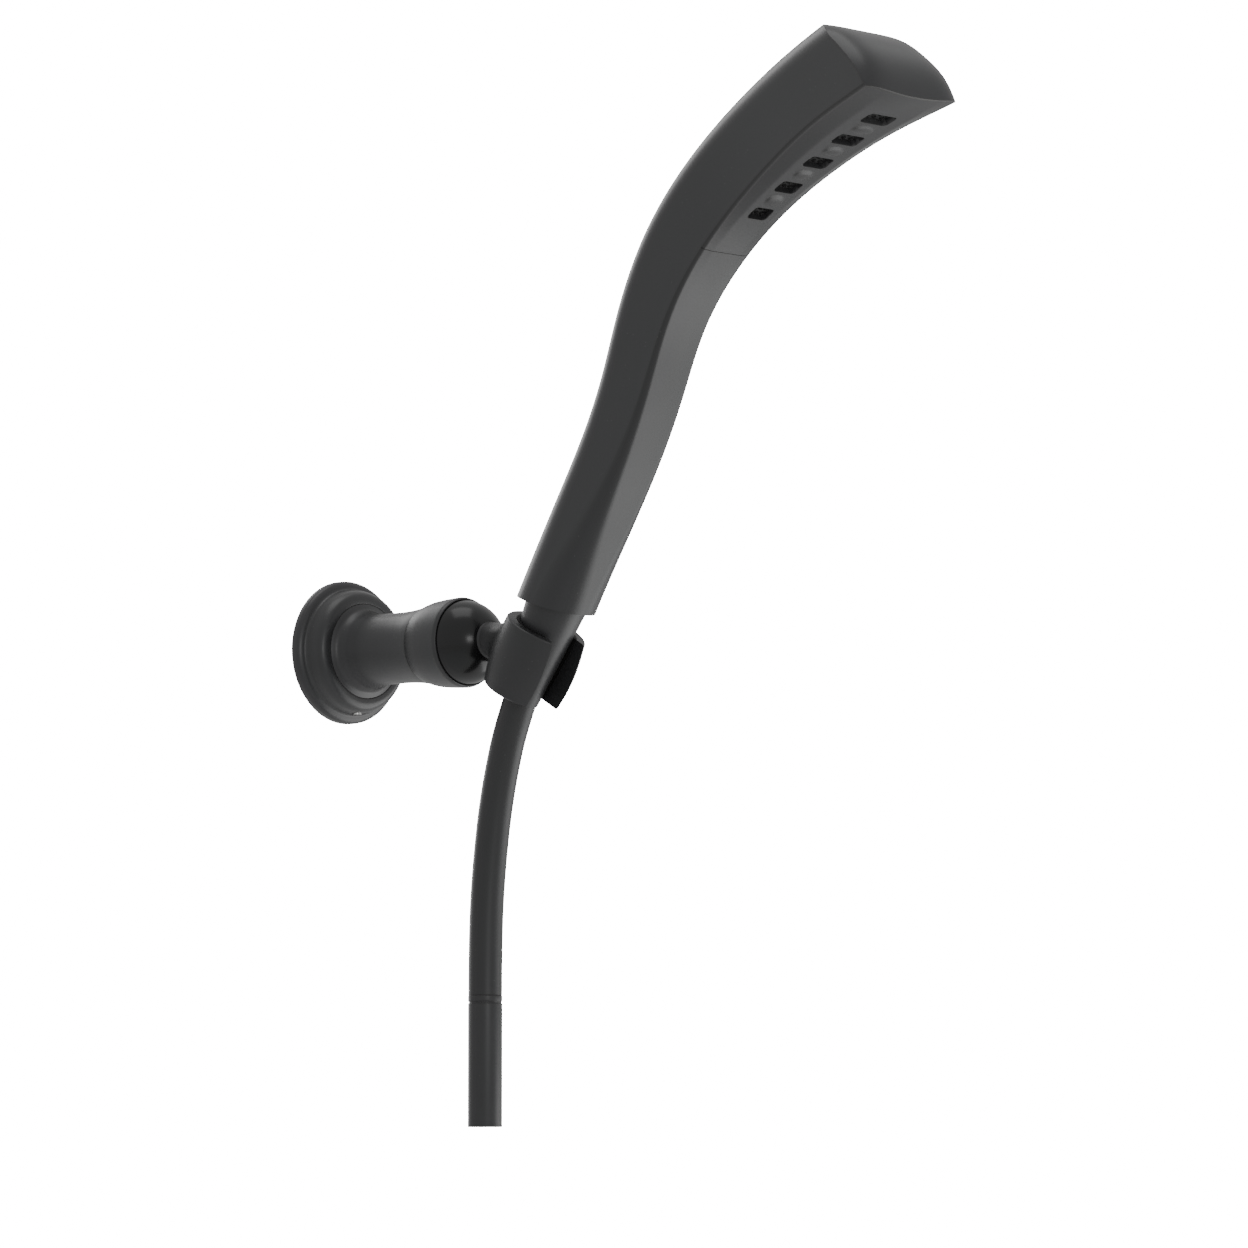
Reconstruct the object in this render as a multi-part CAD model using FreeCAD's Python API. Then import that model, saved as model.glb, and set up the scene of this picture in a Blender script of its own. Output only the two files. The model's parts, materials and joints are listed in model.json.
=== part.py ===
import FreeCAD, Part
import math
import os

# Handheld shower head in its wall holder. Millimetres, +Z up, +X out of the wall.
# The origin is the centre of the round wall flange, on the wall's face.

V = FreeCAD.Vector

# Wall flange, plate and arm (turned parts, axis X)
FLANGE_R = 30.3
FLANGE_DEPTH = 13.5
FLANGE_WALL = 1.6
PLATE_R = 24.0
PLATE_T = 4.0
PLATE_HOLE_R = 2.5
PLATE_HOLE_SPACING = 30.0
SPIGOT_R = 9.0
SPIGOT_END = 34.0
ARM_R = 15.0
NECK_X = 54.0
NOSE_R = 14.9
NOSE_BORE = 13.4
NOSE_START = 47.0
NOSE_END = 60.0

# Ball joint
BALL_X = 72.5
BALL_R = 17.8
BALL_GAP = 0.3
NUT_END = 74.9
NUT_R = 18.9
PINCH_X = 89.6
PINCH_R = 7.4
STEM_R = 4.0
STEM_START = 66.9
STEM_END = 102.6
BALL_FLAT_X = 88.2

# Handset axis where the cone nut and the cradle sit, leaning out from the wall
LEAN = 30.0
FOOT_X = 128.7
FOOT_Z = 14.5
CONE_TOP_Z = -0.4
CONE_LENGTH = 45.6
CONE_R_TOP = 12.9
CONE_R_END = 8.2
CONE_MOUTH_R = 7.75
CRADLE_TOP = -13.5
CRADLE_END = -43.6
CRADLE_GAP = 0.3
LINER_T = 1.2
CRADLE_R = 17.9
CRADLE_R_END = 16.4
SLOT_W = 18.0

# Handset body: the middle line in the XZ plane, then width, depth, corner radii and the
# front face's crown along it. The first 10 mm are below the foot, where the end is cut at a slope.
SPINE = [(123.7, 5.84), (128.7, 14.5), (148.4, 48.6), (163.4, 74.6), (174.6, 98.2), (185.1, 124.4),
         (199.9, 148.8), (221.6, 170.8), (255.9, 193.2), (288.2, 207.6), (322.1, 219.0),
         (331.5, 222.4)]
#           distance, width, depth, front corner, back corner, crown
STATIONS = [(0.0, 31.2, 32.2, 14.6, 14.6, 0.1), (12.0, 31.0, 32.0, 14.2, 14.4, 0.1),
            (42.0, 28.0, 31.4, 9.0, 12.5, 0.1), (74.0, 25.2, 31.2, 4.6, 11.0, 0.1),
            (106.0, 23.9, 31.8, 2.6, 10.0, 0.1), (138.0, 24.4, 34.0, 2.0, 10.0, 0.1),
            (166.0, 26.2, 36.8, 1.6, 10.5, 0.2), (190.0, 28.2, 38.2, 1.4, 11.0, 0.8),
            (214.0, 31.6, 38.6, 1.4, 11.5, 1.8), (238.0, 37.0, 38.4, 1.4, 12.0, 2.6),
            (262.0, 43.4, 38.0, 1.4, 12.0, 2.8), (286.0, 49.4, 38.3, 1.4, 12.0, 2.4),
            (304.0, 53.0, 38.8, 1.4, 12.0, 2.4), (314.0, 54.6, 39.0, 1.4, 12.0, 2.4)]
FOOT_AT = 10.0
FOOT_DROP = 2.8
FOOT_TILT = 11.3
BODY_LENGTH = 289.2
SKIN = 2.4
FRONT_DEPTH = 2.6
SEAM_AT = 178.0
END_TILT = 33.7
END_DOME = 7.8
DOME_HALF_WIDE = 27.4
DOME_HALF_DEEP = 24.0
DOME_POWERS = (5.0, 3.5, 2.4)  # sideways, towards the front, towards the back
CAP_T = 3.0
POCKETS = [(204.5, 10.5), (224.0, 11.5), (243.5, 12.6), (262.5, 13.8), (281.0, 15.0)]
POCKET_LONG = 7.6
POCKET_CORNER = 1.6
CHAMBER_T = 7.0
GASKET_T = 1.2

# Inlet, on the handset axis
THREAD_R = 10.4
CONNECTOR_BORE = 8.0
WATERWAY_R = 6.0
WATERWAY_BORE = 4.6

# Hose: route points in the XZ plane, then its straight end sleeve
HOSE_R = 7.0
HOSE_BORE = 4.6
ROUTE = [(120.2, -0.2), (103.5, -29.1), (93.2, -62.0), (88.2, -94.0), (86.2, -122.0),
         (86.2, -146.5)]
SLEEVE_R = 7.1
SLEEVE_END = -200.6
SLEEVE_BORE = 5.0
INSERT_CLEARANCE = 0.06


def save(shape, name):
    solids = shape.Solids
    result = solids[0] if len(solids) == 1 else Part.makeCompound(solids)
    result.exportStep("parts/" + name + ".step")
    print(name, "solids", len(solids), "volume", round(result.Volume, 1), "valid", result.isValid())


def turned(profile, axis):
    """A closed half profile of (along, radius) points turned about the X or Z axis."""
    if axis == "x":
        points = [V(a, 0, r) for a, r in profile]
        direction = V(1, 0, 0)
    else:
        points = [V(r, 0, a) for a, r in profile]
        direction = V(0, 0, 1)
    face = Part.Face(Part.makePolygon(points + points[:1]))
    return face.revolve(V(0, 0, 0), direction, 360)


def on_handset_axis(shape):
    """Move a shape drawn about the Z axis onto the handset's axis."""
    placed = shape.copy()
    placed.rotate(V(0, 0, 0), V(0, 1, 0), LEAN)
    placed.translate(V(FOOT_X, 0, FOOT_Z))
    return placed


def cone_radius(z):
    return CONE_R_TOP + (z - CONE_TOP_Z) * (CONE_R_TOP - CONE_R_END) / CONE_LENGTH


def spine_edge():
    curve = Part.BSplineCurve()
    points = [V(x, 0, z) for x, z in SPINE]
    curve.interpolate(points)
    return curve.toShape()


SPINE_EDGE = spine_edge()


def spine_at(distance):
    """Point, forward direction and back direction of the middle line."""
    u = SPINE_EDGE.getParameterByLength(distance)
    point = SPINE_EDGE.valueAt(u)
    ahead = SPINE_EDGE.tangentAt(u).normalize()
    back = V(-ahead.z, 0, ahead.x)
    return point, ahead, back


def rounded_outline(distance, half, front, rear, r_front, r_rear, crown=0.0):
    """Rounded rectangle across the middle line, from front to rear measured backwards."""
    point, ahead, back = spine_at(distance)
    side = V(0, 1, 0)

    def at(y, v):
        return point + side * y + back * v

    k = 1.0 - math.sqrt(0.5)
    corners = [(-1, front, 1, r_front), (1, front, 1, r_front),
               (1, rear, -1, r_rear), (-1, rear, -1, r_rear)]
    arcs = []
    for index, (sy, v, sv, r) in enumerate(corners):
        on_side = at(sy * half, v + sv * r)
        on_face = at(sy * (half - r), v)
        middle = at(sy * (half - r * k), v + sv * r * k)
        if index % 2 == 0:
            arcs.append((on_side, middle, on_face))
        else:
            arcs.append((on_face, middle, on_side))
    edges = []
    for index, (start, middle, end) in enumerate(arcs):
        edges.append(Part.Arc(start, middle, end).toShape())
        following = arcs[(index + 1) % 4][0]
        if index == 0 and crown > 0:
            edges.append(Part.Arc(end, at(0, front - crown), following).toShape())
        else:
            edges.append(Part.LineSegment(end, following).toShape())
    return Part.Wire(edges)


def body_loft(inset):
    """The handset's whole form, drawn in by inset all round."""
    wires = []
    for distance, width, depth, r_front, r_rear, crown in STATIONS:
        small = 0.6
        wires.append(rounded_outline(distance, width / 2 - inset, -depth / 2 + inset, depth / 2 - inset,
                                     max(r_front - inset, small), max(r_rear - inset, small), crown))
    return Part.makeLoft(wires, True, False)


def front_zone(depth_from_front):
    """Everything in front of a surface that follows the front face at a given depth."""
    wires = []
    for distance, width, depth, r_front, r_rear, crown in STATIONS:
        wires.append(rounded_outline(distance, 40.0, -depth / 2 - 12.0, -depth / 2 + depth_from_front, 1, 1))
    return Part.makeLoft(wires, True, False)


def beyond(distance):
    """A big block that holds everything past a distance along the middle line."""
    size = 240.0
    point, ahead, back = spine_at(distance)
    block = Part.makeBox(size, size, size, V(-size / 2, -size / 2, 0))
    block.rotate(V(0, 0, 0), V(0, 1, 0), math.degrees(math.atan2(ahead.x, ahead.z)))
    block.translate(point)
    return block


def falling(t, power):
    """1 at the middle and 0 at the rim, then straight on down past it."""
    return 1 - t ** power if t < 1 else -power * (t - 1)


def dome_height(y, forward):
    """Height of the head's end above its sloping plane."""
    sideways, to_front, to_back = DOME_POWERS
    across = falling(abs(y) / DOME_HALF_WIDE, sideways)
    along = falling(abs(forward) / DOME_HALF_DEEP, to_front if forward > 0 else to_back)
    return END_DOME * (across * along if across > 0 and along > 0 else min(across, along))


def past_end(inset):
    """A block past the domed, sloping end of the head, moved back by inset."""
    rows = []
    for i in range(-12, 13):
        row = []
        for j in range(-9, 13):
            y = i * 3.0
            v = j * 3.0
            row.append(V(v, y, dome_height(y, v) - inset))
        rows.append(row)
    surface = Part.BSplineSurface()
    surface.interpolate(rows)
    block = surface.toShape().extrude(V(0, 0, 60))
    point, ahead, back = spine_at(BODY_LENGTH)
    block.rotate(V(0, 0, 0), V(0, 1, 0), math.degrees(math.atan2(ahead.x, ahead.z)) - END_TILT)
    block.translate(point)
    return block


def below_foot():
    """A block under the sloping lower end of the body."""
    point, ahead, back = spine_at(FOOT_AT)
    block = Part.makeBox(80, 80, 40, V(-40, -40, -40))
    block.rotate(V(0, 0, 0), V(0, 1, 0), LEAN - FOOT_TILT)
    block.translate(point - ahead * FOOT_DROP)
    return block


def pocket(distance, width, from_front, to_front, grow):
    """A rounded block across the front face, between two depths behind it."""
    point, ahead, back = spine_at(distance)
    front = front_at(distance)
    long = POCKET_LONG + 2 * grow
    wide = width + 2 * grow
    block = Part.makeBox(to_front - from_front, wide, long, V(from_front - front, -wide / 2, -long / 2))
    sides = [e for e in block.Edges if abs(e.tangentAt(e.FirstParameter).x) > 0.9]
    block = block.makeFillet(POCKET_CORNER + grow, sides)
    # drawn with +X as the backward direction, then turned onto the middle line
    block.rotate(V(0, 0, 0), V(0, 1, 0), math.degrees(math.atan2(-back.z, back.x)))
    block.translate(point)
    return block


def front_at(distance):
    """How far the crowned front face stands in front of the middle line."""
    for (s0, w0, d0, a0, b0, c0), (s1, w1, d1, a1, b1, c1) in zip(STATIONS, STATIONS[1:]):
        if s0 <= distance <= s1:
            part = (distance - s0) / (s1 - s0)
            return (d0 + (d1 - d0) * part) / 2 + c0 + (c1 - c0) * part
    return STATIONS[-1][2] / 2


# ---- wall side ----

def wall_plate():
    disc = turned([(0, 0), (0, PLATE_R), (PLATE_T, PLATE_R), (PLATE_T, SPIGOT_R + 2),
                   (PLATE_T + 2, SPIGOT_R), (SPIGOT_END, SPIGOT_R), (SPIGOT_END, 0)], "x")
    core = Part.makeCylinder(SPIGOT_R - 2.5, SPIGOT_END - PLATE_T - 2, V(PLATE_T + 2, 0, 0), V(1, 0, 0))
    disc = disc.cut(core)
    for side in (-1, 1):
        centre = V(-1, 0, side * PLATE_HOLE_SPACING / 2)
        disc = disc.cut(Part.makeCylinder(PLATE_HOLE_R, PLATE_T + 2, centre, V(1, 0, 0)))
    return disc


def flange():
    outer = turned([(0, PLATE_R + 0.1), (0, FLANGE_R), (3.2, FLANGE_R), (4.6, 28.8), (5.2, 26.6),
                    (10.4, 25.8), (12.6, 24.4), (FLANGE_DEPTH, 22.6), (FLANGE_DEPTH, 20.1),
                    (FLANGE_DEPTH - FLANGE_WALL, 20.1), (FLANGE_DEPTH - FLANGE_WALL, 22.4),
                    (9.6, PLATE_R + 0.1)], "x")
    hole = Part.makeCylinder(2.05, 12, V(8.0, 0, -32), V(0, 0, 1))
    return outer.cut(hole)


def flange_gasket():
    return turned([(PLATE_T, 21.5), (PLATE_T, PLATE_R), (PLATE_T + 1.2, PLATE_R), (PLATE_T + 1.2, 21.5)], "x")


def set_screw():
    screw = Part.makeCylinder(2.0, 6.5, V(8.0, 0, -26.6), V(0, 0, 1))
    socket = Part.makeCylinder(1.0, 2.5, V(8.0, 0, -27), V(0, 0, 1))
    return screw.cut(socket)


def arm_tube():
    return turned([(PLATE_T + 2.1, 11.2), (PLATE_T + 2.1, 20.0), (FLANGE_DEPTH, 20.0), (14.6, 17.4),
                   (17.0, 16.0), (21.0, 15.2), (30.0, ARM_R - 0.1), (40.0, ARM_R - 0.1), (47.0, 15.3),
                   (NECK_X, 16.2), (NECK_X, NOSE_R), (NOSE_END, NOSE_R), (NOSE_END, NOSE_BORE),
                   (NOSE_START, NOSE_BORE), (NOSE_START, SPIGOT_R), (PLATE_T + 4, SPIGOT_R),
                   (PLATE_T + 4, 11.2)], "x")


def seat_spring():
    """Wavy spring washer behind the ball's seat."""
    ring = turned([(47.0, 9.2), (47.0, 13.0), (47.5, 13.0), (47.5, 9.2)], "x")
    for count in range(3):
        lump = Part.makeBox(0.5, 3.0, 3.4, V(47.5, -1.5, 9.4))
        lump.rotate(V(0, 0, 0), V(1, 0, 0), 120 * count)
        ring = ring.fuse(lump)
    return ring.removeSplitter()


def swivel_seat():
    body = turned([(48.2, 5.0), (48.2, 13.2), (60.5, 13.2), (60.5, 5.0)], "x")
    return body.cut(Part.makeSphere(BALL_R + BALL_GAP, V(BALL_X, 0, 0)))


def lock_nut():
    start = V(NECK_X + 0.2, 0, 16.3)
    middle = V(60.0, 0, 17.9)
    rim = V(NUT_END - 0.9, 0, NUT_R)
    lip = V(NUT_END, 0, NUT_R - 0.6)
    flare = Part.Arc(start, middle, rim).toShape()
    inner = [lip, V(NUT_END, 0, 16.0), V(NOSE_END + 0.4, 0, 12.0), V(NOSE_END + 0.4, 0, NOSE_R + 0.1),
             V(NECK_X + 0.2, 0, NOSE_R + 0.1), start]
    edges = [flare, Part.makeLine(rim, lip)]
    for one, two in zip(inner, inner[1:]):
        edges.append(Part.makeLine(one, two))
    nut = Part.Face(Part.Wire(edges)).revolve(V(0, 0, 0), V(1, 0, 0), 360)
    return nut.cut(Part.makeSphere(BALL_R + BALL_GAP, V(BALL_X, 0, 0)))


def ball():
    sphere = Part.makeSphere(BALL_R, V(BALL_X, 0, 0))
    hole = Part.makeCylinder(STEM_R, 40, V(STEM_START - 0.4, 0, 0), V(1, 0, 0))
    flat = Part.makeBox(10, 40, 40, V(BALL_FLAT_X, -20, -20))
    return sphere.cut(hole).cut(flat)


def ball_stem():
    return Part.makeCylinder(STEM_R, STEM_END - STEM_START, V(STEM_START, 0, 0), V(1, 0, 0))


def cradle_block(inner_radius_gap, outer):
    """An open C around the cone nut, from an offset of the cone out to an outer profile."""
    near = CRADLE_GAP + inner_radius_gap
    profile = [(CRADLE_END, cone_radius(CRADLE_END) + near)] + outer
    profile.append((CRADLE_TOP, cone_radius(CRADLE_TOP) + near))
    ring = turned(profile, "z")
    slot = Part.makeBox(40, SLOT_W, 60, V(0, -SLOT_W / 2, -60))
    return on_handset_axis(ring.cut(slot))


def cradle_liner():
    far = CRADLE_GAP + LINER_T
    return cradle_block(0, [(CRADLE_END, cone_radius(CRADLE_END) + far),
                            (CRADLE_TOP, cone_radius(CRADLE_TOP) + far)])


def cradle():
    ring = cradle_block(LINER_T, [(CRADLE_END, CRADLE_R_END - 0.6), (CRADLE_END + 0.6, CRADLE_R_END),
                                  (-36.0, 17.6), (-29.0, CRADLE_R + 0.2), (-22.0, CRADLE_R),
                                  (CRADLE_TOP - 0.6, 17.1), (CRADLE_TOP, 16.4)])
    boss = turned([(BALL_FLAT_X, 0), (BALL_FLAT_X, PINCH_R + 0.3), (PINCH_X, PINCH_R), (92.0, 8.0),
                   (96.0, 10.0), (102.0, 12.6), (112.0, 14.0), (112.0, 0)], "x")
    reach = 20
    room = turned([(CRADLE_END - reach, cone_radius(CRADLE_END - reach) + CRADLE_GAP + LINER_T),
                   (CRADLE_TOP + reach, cone_radius(CRADLE_TOP + reach) + CRADLE_GAP + LINER_T),
                   (CRADLE_TOP + reach, 0), (CRADLE_END - reach, 0)], "z")
    above = Part.makeBox(80, 80, 60, V(-40, -40, CRADLE_TOP))
    boss = boss.cut(on_handset_axis(room)).cut(on_handset_axis(above))
    whole = ring.fuse(boss).removeSplitter()
    screw = Part.makeCylinder(STEM_R, STEM_END - PINCH_X + 5, V(PINCH_X - 5, 0, 0), V(1, 0, 0))
    return whole.cut(screw)


# ---- handset ----

def neck_ring(inner):
    slab = on_handset_axis(Part.makeCylinder(30, 5.0))
    bore = on_handset_axis(Part.makeCylinder(THREAD_R, 40, V(0, 0, -20)))
    return inner.common(slab).cut(bore)


def inlet_connector():
    tube = turned([(-10, CONNECTOR_BORE), (-10, THREAD_R), (5, THREAD_R), (5, 12.0), (8, 12.0), (9, 9.6),
                   (16, 9.6), (16, WATERWAY_R), (8.5, WATERWAY_R), (8.5, CONNECTOR_BORE)], "z")
    return on_handset_axis(tube)


def flow_regulator():
    disc = turned([(-9.6, 1.6), (-9.6, 7.9), (-7.2, 7.9), (-7.2, 1.6)], "z")
    return on_handset_axis(disc)


def check_valve_body():
    tube = turned([(-7.0, 4.2), (-7.0, 7.9), (8.4, 7.9), (8.4, 6.0), (6.6, 6.0), (6.6, 2.6), (5.6, 2.6),
                   (5.6, 6.0), (-4.4, 6.0), (-4.4, 4.2)], "z")
    return on_handset_axis(tube)


def check_valve_poppet():
    poppet = turned([(-4.3, 0), (-4.3, 5.4), (-2.6, 5.4), (-2.6, 1.6), (3.0, 1.6), (3.0, 0)], "z")
    return on_handset_axis(poppet)


def check_valve_spring():
    coil_r = 3.4
    helix = Part.Wire(Part.makeHelix(1.5, 7.5, coil_r))
    ring = Part.Wire(Part.makeCircle(0.32, V(coil_r, 0, 0), V(0, 1, 0.07)))
    coil = helix.makePipeShell([ring], True, True)
    coil.translate(V(0, 0, -2.2))
    return on_handset_axis(coil)


def filter_screen():
    disc = turned([(-12.0, 0), (-12.0, 6.0), (-11.4, 6.0), (-11.4, 0)], "z")
    return on_handset_axis(disc)


def inlet_washer():
    ring = turned([(-12.4, 6.1), (-12.4, 10.2), (-10.1, 10.2), (-10.1, 6.1)], "z")
    return on_handset_axis(ring)


def waterway_tube(chamber_start):
    """Water pipe up the handle, through the middle line's points between two distances."""
    first = FOOT_AT + 17.0
    sections = []
    stops = 7
    for index in range(stops):
        distance = first + (chamber_start - first) * index / (stops - 1)
        point, ahead, back = spine_at(distance)
        sections.append((point, ahead))
    outer = Part.makeLoft([Part.Wire(Part.makeCircle(WATERWAY_R, p, a)) for p, a in sections], True, False)
    inner = Part.makeLoft([Part.Wire(Part.makeCircle(WATERWAY_BORE, p, a)) for p, a in sections], True, False)
    return outer.cut(inner)


def chamber_slab(near, far, first, last, margin):
    """A slab behind the spray panel, inside the skin, between two depths."""
    wires = []
    for distance, width, depth, r_front, r_rear, crown in STATIONS:
        half = width / 2 - SKIN - margin
        wires.append(rounded_outline(distance, half, -depth / 2 + near, -depth / 2 + far, 0.4, 0.4, crown))
    slab = Part.makeLoft(wires, True, False)
    return slab.cut(beyond(last)).common(beyond(first))


def cone_nut():
    end = CONE_TOP_Z - CONE_LENGTH
    bore = HOSE_R + 0.2
    nut = turned([(CONE_TOP_Z, 10.5), (CONE_TOP_Z, CONE_R_TOP - 0.6),
                  (CONE_TOP_Z - 0.6, cone_radius(CONE_TOP_Z - 0.6)), (end, CONE_R_END), (end, CONE_MOUTH_R),
                  (end + 11.5, bore), (-17.2, bore), (-15.4, 10.0), (-12.6, 10.5)], "z")
    return on_handset_axis(nut)


def hose_barb():
    barb_r = HOSE_BORE - 0.05
    tube = turned([(-35.0, 3.4), (-35.0, barb_r), (-17.0, barb_r), (-15.3, 9.8), (-12.6, 9.8), (-12.6, 3.4)], "z")
    return on_handset_axis(tube)


def hose_path():
    """Straight runs joined by tangent arcs, each as large as its two runs allow."""
    points = [V(x, 0, z) for x, z in ROUTE]
    edges = []
    start = points[0]
    for before, corner, after in zip(points, points[1:], points[2:]):
        run_in = corner - before
        run_out = after - corner
        turn = run_in.getAngle(run_out)
        cut = 0.45 * min(run_in.Length, run_out.Length)
        radius = cut / math.tan(turn / 2)
        print("hose arc radius", round(radius, 1))
        a = corner - run_in.normalize() * cut
        b = corner + run_out.normalize() * cut
        inward = (a + b) * 0.5 - corner
        middle = corner + inward.normalize() * (radius / math.cos(turn / 2) - radius)
        edges.append(Part.LineSegment(start, a).toShape())
        edges.append(Part.Arc(a, middle, b).toShape())
        start = b
    edges.append(Part.LineSegment(start, points[-1]).toShape())
    return Part.Wire(edges)


def hose():
    path = hose_path()
    ahead = V(ROUTE[1][0] - ROUTE[0][0], 0, ROUTE[1][1] - ROUTE[0][1])
    start = V(ROUTE[0][0], 0, ROUTE[0][1])
    skins = []
    for radius in (HOSE_R, HOSE_BORE):
        ring = Part.Wire(Part.makeCircle(radius, start, ahead))
        skins.append(path.makePipeShell([ring], True, False))
    tube = skins[0].cut(skins[1])
    expected = math.pi * (HOSE_R ** 2 - HOSE_BORE ** 2) * path.Length
    print("hose length", round(path.Length, 1), "volume", round(tube.Volume, 1), "expected", round(expected, 1))
    return tube


def hose_insert():
    x, z = ROUTE[-1]
    tube = turned([(z - 12, 3.4), (z - 12, HOSE_BORE), (z + 14, HOSE_BORE), (z + 14, 3.4)], "z")
    tube.translate(V(x, 0, 0))
    return tube


def end_sleeve():
    x, z = ROUTE[-1]
    top = z - 0.3
    fit = HOSE_BORE + INSERT_CLEARANCE
    tube = turned([(SLEEVE_END, SLEEVE_BORE), (SLEEVE_END, SLEEVE_R - 0.5), (SLEEVE_END + 0.5, SLEEVE_R),
                   (top - 0.6, SLEEVE_R), (top, SLEEVE_R - 0.6), (top, fit), (z - 14, fit), (z - 14, SLEEVE_BORE)],
                  "z")
    tube.translate(V(x, 0, 0))
    return tube


def build():
    os.makedirs("parts", exist_ok=True)
    save(wall_plate(), "wall_plate")
    save(flange(), "wall_flange")
    save(flange_gasket(), "flange_gasket")
    save(set_screw(), "set_screw")
    save(arm_tube(), "arm_tube")
    save(seat_spring(), "seat_spring")
    save(swivel_seat(), "swivel_seat")
    save(lock_nut(), "lock_nut")
    save(ball(), "swivel_ball")
    save(ball_stem(), "ball_stem")
    save(cradle(), "cradle")
    save(cradle_liner(), "cradle_liner")

    end = past_end(0)
    outer = body_loft(0).cut(end).cut(below_foot())
    inner = body_loft(SKIN)
    cap_zone = past_end(CAP_T)
    zone = front_zone(FRONT_DEPTH)
    skin = outer.cut(inner).cut(cap_zone)
    front = skin.common(zone)
    past_seam = beyond(SEAM_AT)
    save(skin.cut(zone), "handset_shell")
    save(front.cut(past_seam), "front_cover")
    panel = front.common(past_seam)
    for distance, width in POCKETS:
        panel = panel.cut(pocket(distance, width, -4.0, SKIN + 1.0, 0))
    save(panel, "spray_panel")
    save(outer.common(cap_zone), "end_cap")

    save(neck_ring(inner), "neck_ring")
    save(inlet_connector(), "inlet_connector")
    save(flow_regulator(), "flow_regulator")
    save(check_valve_body(), "check_valve_body")
    save(check_valve_poppet(), "check_valve_poppet")
    save(check_valve_spring(), "check_valve_spring")
    save(filter_screen(), "filter_screen")
    save(inlet_washer(), "inlet_washer")

    first = SEAM_AT + 8
    last = POCKETS[-1][0] + 8
    near = SKIN + GASKET_T
    box = chamber_slab(near, near + CHAMBER_T, first, last, 1.2)
    gasket = chamber_slab(SKIN, near + CHAMBER_T, first, last, 2.0).cut(box)
    hollow = chamber_slab(near - 1, near + CHAMBER_T - 1.6, first + 1.6, last - 1.6, 2.8)
    box = box.cut(hollow)
    save(waterway_tube(first), "waterway_tube")
    for number, (distance, width) in enumerate(POCKETS, 1):
        insert = pocket(distance, width, 0.8, near, -0.05)
        for row in (-1, 1):
            for column in (-1, 0, 1):
                hole_point, a, b = spine_at(distance)
                y = column * width * 0.28
                base = hole_point + a * (row * 1.7) + V(0, y, 0) - b * (front_at(distance) + 1)
                insert = insert.cut(Part.makeCylinder(0.5, near + 4, base, b))
        gasket = gasket.cut(pocket(distance, width, SKIN - 1, near + 1, 0))
        save(insert, "nozzle_" + str(number))
    save(gasket, "chamber_gasket")
    save(box, "spray_chamber")

    save(cone_nut(), "cone_nut")
    save(hose_barb(), "hose_barb")
    save(hose(), "hose")
    save(hose_insert(), "hose_insert")
    save(end_sleeve(), "end_sleeve")


build()
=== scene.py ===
import bmesh
import bpy
import json
import math
import numpy as np
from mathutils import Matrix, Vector


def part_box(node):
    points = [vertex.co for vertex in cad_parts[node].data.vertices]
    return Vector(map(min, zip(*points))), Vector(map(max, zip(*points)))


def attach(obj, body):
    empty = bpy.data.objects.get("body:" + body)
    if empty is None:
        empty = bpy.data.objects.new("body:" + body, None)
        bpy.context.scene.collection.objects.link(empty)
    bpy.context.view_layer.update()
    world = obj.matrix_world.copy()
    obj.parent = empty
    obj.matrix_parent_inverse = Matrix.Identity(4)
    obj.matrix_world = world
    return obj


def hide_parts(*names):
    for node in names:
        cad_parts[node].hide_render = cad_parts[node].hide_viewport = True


# Handheld shower head in a ball-jointed wall holder. Metres, +Z up, +X out of the wall.
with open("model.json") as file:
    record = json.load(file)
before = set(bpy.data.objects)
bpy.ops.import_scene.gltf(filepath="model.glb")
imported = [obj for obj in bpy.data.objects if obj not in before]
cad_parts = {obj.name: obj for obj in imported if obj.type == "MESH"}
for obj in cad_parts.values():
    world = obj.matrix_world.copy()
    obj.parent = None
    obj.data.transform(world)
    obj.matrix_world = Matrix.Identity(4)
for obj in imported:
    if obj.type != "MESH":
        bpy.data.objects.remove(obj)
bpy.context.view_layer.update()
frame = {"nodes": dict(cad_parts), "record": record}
print("frame loaded:", len(frame["nodes"]), "nodes")

mm = 0.001


def splineThrough(xs, ys):
    # Natural cubic spline: solves for the second slopes at the knots, then blends them between knots.
    xs, ys = np.asarray(xs, float), np.asarray(ys, float)
    n = len(xs)
    h = np.diff(xs)
    system = np.eye(n)
    right = np.zeros(n)
    i = np.arange(1, n - 1)
    system[i, i - 1] = h[:-1]
    system[i, i] = 2 * (h[:-1] + h[1:])
    system[i, i + 1] = h[1:]
    right[i] = 6 * (np.diff(ys)[1:] / h[1:] - np.diff(ys)[:-1] / h[:-1])
    bend = np.linalg.solve(system, right)

    def at(x):
        x = np.asarray(x, float)
        k = np.clip(np.searchsorted(xs, x) - 1, 0, n - 2)
        a = (xs[k + 1] - x) / h[k]
        b = 1 - a
        return (a * ys[k] + b * ys[k + 1]
                + ((a ** 3 - a) * bend[k] + (b ** 3 - b) * bend[k + 1]) * h[k] ** 2 / 6)
    return at


def smoothStep(x):
    # 0 below 0, 1 above 1, with no corner at either end.
    x = np.clip(x, 0, 1)
    return x * x * (3 - 2 * x)


def meshObject(name, points, quads, ends=(), edge=None):
    # One object from an array of points (mm), an array of quads and a few larger end faces.
    mesh = bpy.data.meshes.new(name)
    faces = [tuple(q) for q in quads.tolist()] + [tuple(e) for e in ends]
    mesh.from_pydata((points * mm).tolist(), [], faces)
    mesh.update()
    if edge is not None:
        worn = mesh.attributes.new("worn", "FLOAT", "POINT")
        worn.data.foreach_set("value", np.clip(edge, 0, 1).astype(np.float32).ravel())
    piece = bpy.data.objects.new(name, mesh)
    bpy.context.scene.collection.objects.link(piece)
    mesh.polygons.foreach_set("use_smooth", np.ones(len(mesh.polygons), bool))
    return piece


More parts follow.
